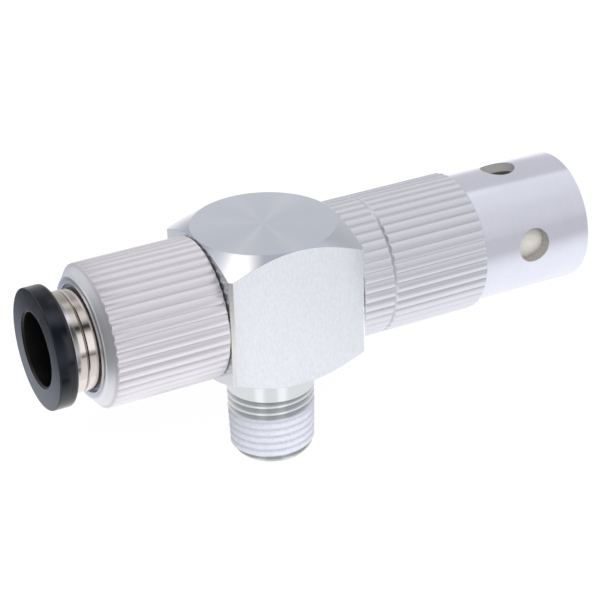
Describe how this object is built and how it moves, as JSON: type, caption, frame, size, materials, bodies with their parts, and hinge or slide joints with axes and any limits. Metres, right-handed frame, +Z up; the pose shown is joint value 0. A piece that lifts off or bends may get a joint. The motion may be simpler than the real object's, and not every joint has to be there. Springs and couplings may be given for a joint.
{
  "type": "vacuum ejector",
  "caption": "In-line vacuum ejector: square aluminium block with a taper-threaded vacuum stem, a push-in supply fitting and a knurled silencer with round exhaust holes.",
  "frame": {"origin": "on the stem's axis, at the gauge plane of its taper thread", "axes": "+Z up the stem towards the block, +X along the flow from the supply fitting to the silencer"},
  "size_m": [0.0654, 0.0164, 0.028],
  "materials": {
    "turned_aluminium": "turned and milled, bare",
    "knurled_aluminium": "straight knurl, satin",
    "nickel_plate": "polished nickel plate",
    "black_plastic": "glossy moulded",
    "spring_steel": "bare sheet",
    "brass": "turned",
    "black_rubber": "matte",
    "porous_white": "sintered, porous"
  },
  "bodies": {
    "ejector": {"body_block": "turned_aluminium", "supply_collar": "knurled_aluminium", "collar_seal": "black_rubber", "guide_ring": "nickel_plate", "lock_claws": "spring_steel", "claw_ring": "brass", "tube_seal": "black_rubber", "nozzle": "brass", "nozzle_seal": "black_rubber", "exhaust_head": "knurled_aluminium", "head_seal": "black_rubber", "diffuser_tube": "brass", "case_seal": "black_rubber", "silencer_case": "knurled_aluminium", "silencer_element": "porous_white"},
    "release": {"release_ring": "black_plastic"}
  },
  "joints": [
    {"name": "ring_press", "type": "slide", "parent": "ejector", "child": "release", "axis": [1, 0, 0], "range_m": [0, 0.001], "stiffness_N_per_m": 800}
  ]
}
